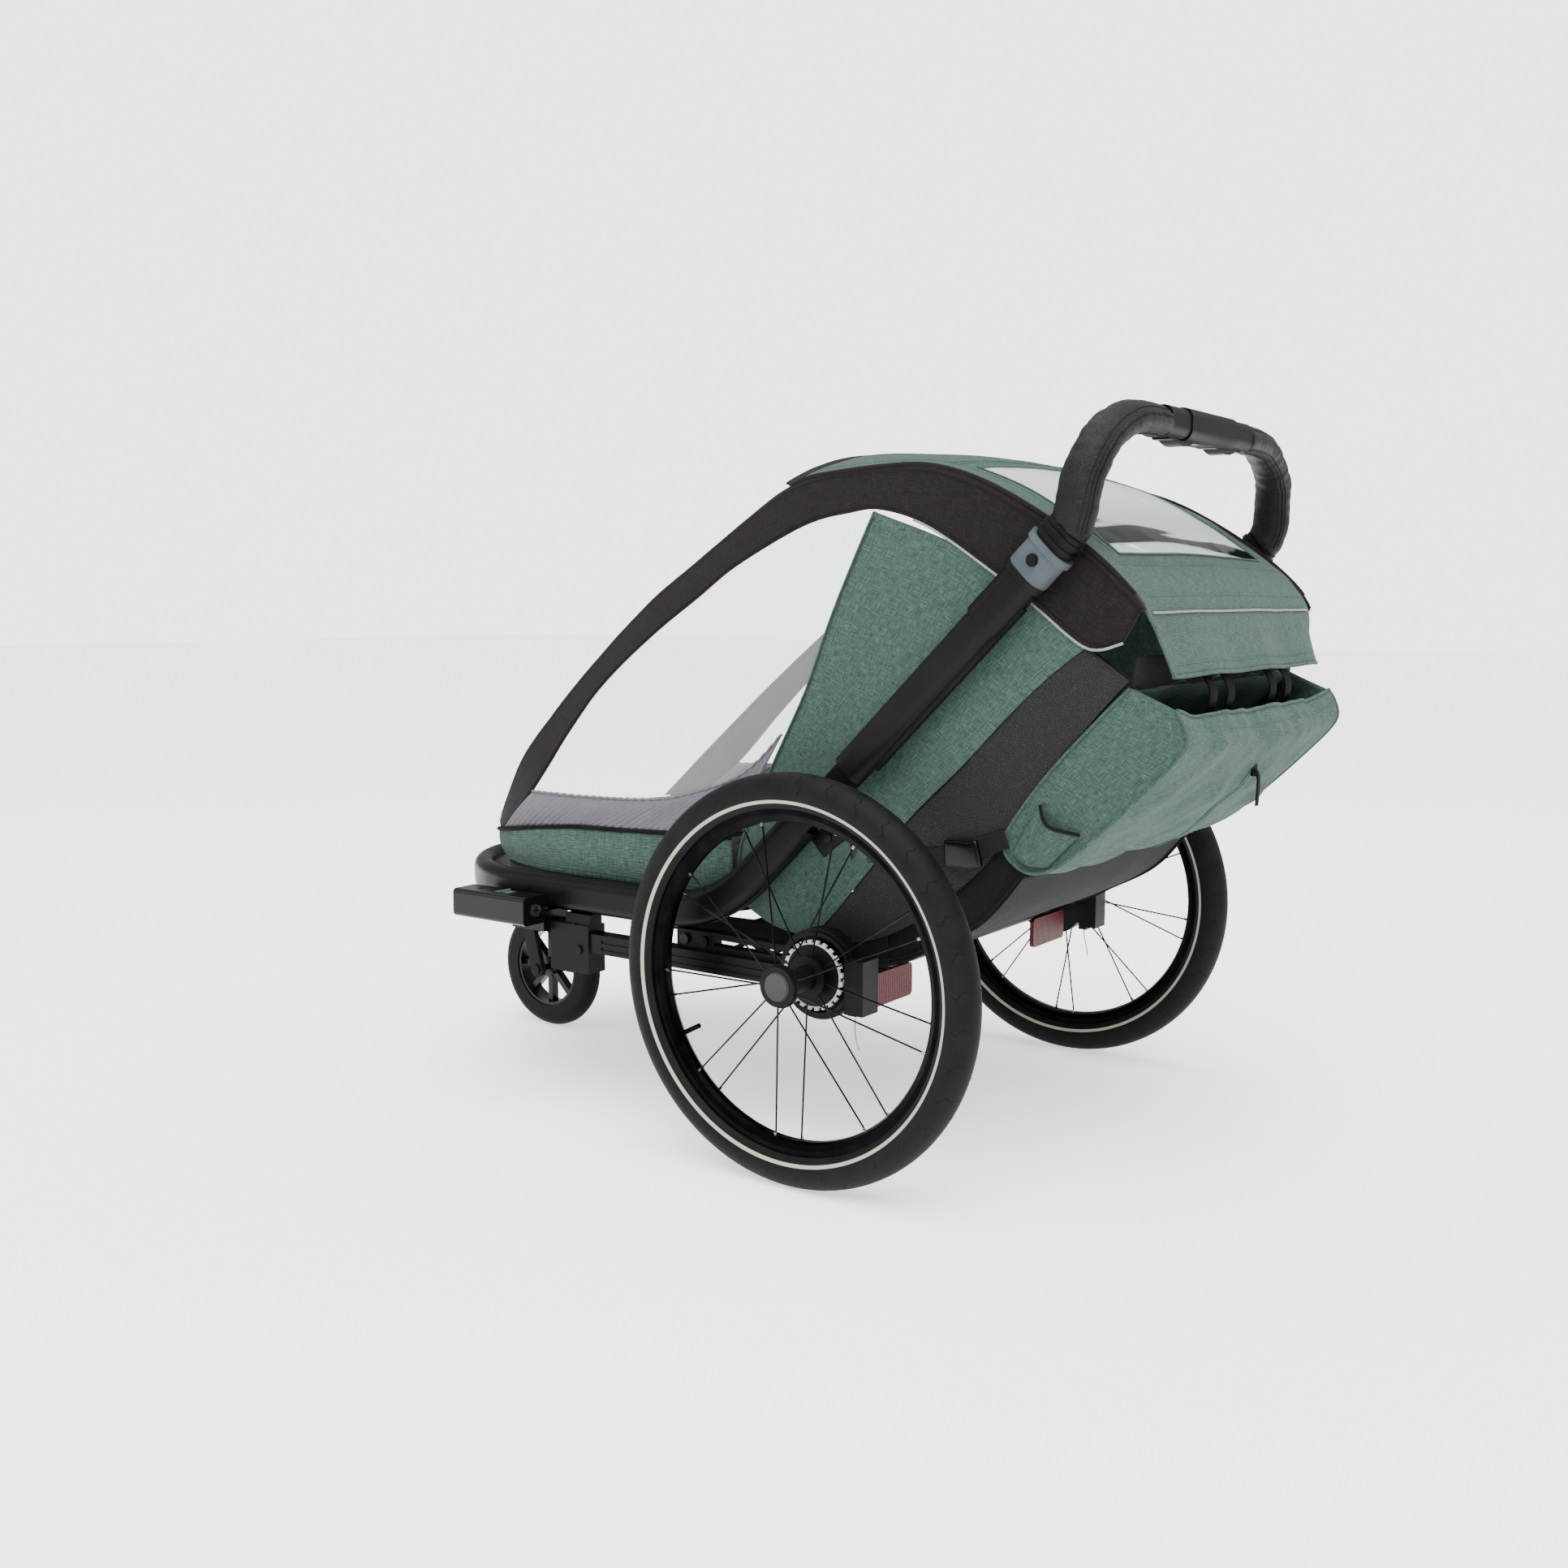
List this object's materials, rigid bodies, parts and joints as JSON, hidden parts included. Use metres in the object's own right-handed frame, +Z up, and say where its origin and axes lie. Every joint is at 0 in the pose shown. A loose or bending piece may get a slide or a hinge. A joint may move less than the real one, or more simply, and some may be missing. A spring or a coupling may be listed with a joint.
{
  "type": "child bicycle trailer",
  "caption": "Covered child trailer with spoked side wheels, a front caster, a folding push handle, side tow arm slot and rear luggage pouch.",
  "frame": {"origin": "on the ground under the middle of the trailer's length and width", "axes": "+X to the trailer's right, +Y forwards, +Z up"},
  "size_m": [0.823, 1.279, 0.9294],
  "materials": {
    "frame_black": "satin",
    "black_plastic": "matte",
    "grey_plastic": "matte",
    "white_plastic": "matte",
    "steel": "bright",
    "spoke_steel": "black",
    "rim_black": "anodised black",
    "tyre_rubber": "matte",
    "reflector_red": "prismatic",
    "grip_leather": "grained",
    "body_fabric": "melange weave",
    "dark_fabric": "woven"
  },
  "bodies": {
    "frame": {"frame_left": "frame_black", "frame_right": "frame_black", "frame_front": "frame_black", "keel_left": "frame_black", "keel_right": "frame_black", "axle_arm_left": "black_plastic", "axle_arm_right": "black_plastic", "frame_fasteners": "steel", "rear_crossbar": "frame_black", "stub_axles": "steel", "brake_housing_left": "black_plastic", "brake_housing_right": "black_plastic", "brake_wire_left": "steel", "brake_wire_right": "steel", "reflectors": "reflector_red", "tow_receiver": "black_plastic", "jogger_socket_left": "black_plastic", "jogger_socket_right": "black_plastic", "caster_mount": "frame_black", "floor_pan": "dark_fabric", "seat_bench": "dark_fabric", "seat_back": "dark_fabric", "canopy_roof": "body_fabric", "front_cover": "dark_fabric", "side_left": "body_fabric", "side_right": "body_fabric", "boot_bag": "body_fabric"},
    "brake_pin_left": {"brake_pin_left": "steel"},
    "brake_pin_right": {"brake_pin_right": "steel"},
    "tow_button": {"tow_button": "grey_plastic"},
    "tow_key": {"tow_key": "steel"},
    "jogger_lever_left": {"jogger_lever_left": "black_plastic"},
    "jogger_lever_right": {"jogger_lever_right": "black_plastic"},
    "caster": {"caster_fork": "black_plastic"},
    "caster_wheel": {"caster_rim": "black_plastic", "caster_tyre": "tyre_rubber"},
    "wheel_left": {"tyre_left": "tyre_rubber", "rim_left": "rim_black", "spokes_left": "spoke_steel", "hub_left": "black_plastic", "brake_ring_left": "white_plastic"},
    "wheel_right": {"tyre_right": "tyre_rubber", "rim_right": "rim_black", "spokes_right": "spoke_steel", "hub_right": "black_plastic", "brake_ring_right": "white_plastic"},
    "hub_cap_left": {"hub_cap_left": "grey_plastic"},
    "hub_cap_right": {"hub_cap_right": "grey_plastic"},
    "posts": {"post_left": "frame_black", "post_right": "frame_black", "collar_left": "grey_plastic", "collar_right": "grey_plastic"},
    "snap_button_left": {"snap_button_left": "black_plastic"},
    "snap_button_right": {"snap_button_right": "black_plastic"},
    "handle": {"handle_spigots": "black_plastic", "grip_left": "grip_leather", "grip_right": "grip_leather", "handle_box": "black_plastic"},
    "handle_lever_left": {"handle_lever_left": "black_plastic"},
    "handle_lever_right": {"handle_lever_right": "black_plastic"}
  },
  "joints": [
    {"name": "frame_fold", "type": "hinge", "parent": "frame", "child": "posts", "pos_m": [0, -0.2045, 0.465], "axis": [-1, 0, 0], "range_deg": [0, 120], "deforming": ["canopy_roof", "front_cover", "side_left", "side_right", "seat_back", "boot_bag"]},
    {"name": "handle_slide", "type": "slide", "parent": "posts", "child": "handle", "axis": [0, -0.7071, 0.7071], "range_m": [0, 0.09]},
    {"name": "snap_button_left_press", "type": "slide", "parent": "posts", "child": "snap_button_left", "axis": [1, 0, 0], "range_m": [0, 0.0025], "stiffness_N_per_m": 600},
    {"name": "snap_button_right_press", "type": "slide", "parent": "posts", "child": "snap_button_right", "axis": [-1, 0, 0], "range_m": [0, 0.0025], "stiffness_N_per_m": 600},
    {"name": "handle_lever_left_squeeze", "type": "slide", "parent": "handle", "child": "handle_lever_left", "axis": [0, 0, 1], "range_m": [0, 0.005], "stiffness_N_per_m": 400},
    {"name": "handle_lever_right_squeeze", "type": "slide", "parent": "handle", "child": "handle_lever_right", "axis": [0, 0, 1], "range_m": [0, 0.005], "stiffness_N_per_m": 400},
    {"name": "wheel_left_spin", "type": "hinge", "parent": "frame", "child": "wheel_left", "pos_m": [-0.375, -0.2085, 0.25], "axis": [1, 0, 0], "continuous": true},
    {"name": "wheel_right_spin", "type": "hinge", "parent": "frame", "child": "wheel_right", "pos_m": [0.375, -0.2085, 0.25], "axis": [1, 0, 0], "continuous": true},
    {"name": "hub_cap_left_press", "type": "slide", "parent": "wheel_left", "child": "hub_cap_left", "axis": [1, 0, 0], "range_m": [0, 0.003], "stiffness_N_per_m": 500},
    {"name": "hub_cap_right_press", "type": "slide", "parent": "wheel_right", "child": "hub_cap_right", "axis": [-1, 0, 0], "range_m": [0, 0.003], "stiffness_N_per_m": 500},
    {"name": "brake_pin_left_lock", "type": "slide", "parent": "frame", "child": "brake_pin_left", "axis": [0, 1, 0], "range_m": [0, 0.003], "stiffness_N_per_m": 500},
    {"name": "brake_pin_right_lock", "type": "slide", "parent": "frame", "child": "brake_pin_right", "axis": [0, 1, 0], "range_m": [0, 0.003], "stiffness_N_per_m": 500},
    {"name": "caster_swivel", "type": "hinge", "parent": "frame", "child": "caster", "pos_m": [0, 0.5735, 0.2], "axis": [0, 0, 1], "continuous": true},
    {"name": "caster_spin", "type": "hinge", "parent": "caster", "child": "caster_wheel", "pos_m": [0, 0.5415, 0.098], "axis": [1, 0, 0], "continuous": true},
    {"name": "tow_button_press", "type": "slide", "parent": "frame", "child": "tow_button", "axis": [0, 0, -1], "range_m": [0, 0.003], "stiffness_N_per_m": 600},
    {"name": "tow_key_turn", "type": "hinge", "parent": "frame", "child": "tow_key", "pos_m": [-0.3405, 0.2465, 0.2775], "axis": [0, -1, 0], "range_deg": [0, 90]},
    {"name": "jogger_lever_left_lift", "type": "hinge", "parent": "frame", "child": "jogger_lever_left", "pos_m": [-0.3, 0.1995, 0.259], "axis": [1, 0, 0], "range_deg": [0, 12], "stiffness_Nm_per_rad": 0.3},
    {"name": "jogger_lever_right_lift", "type": "hinge", "parent": "frame", "child": "jogger_lever_right", "pos_m": [0.3, 0.1995, 0.259], "axis": [1, 0, 0], "range_deg": [0, 12], "stiffness_Nm_per_rad": 0.3}
  ],
  "couplings": [
    {"joint": "brake_pin_right_lock", "follows": "brake_pin_left_lock", "ratio": 1}
  ]
}
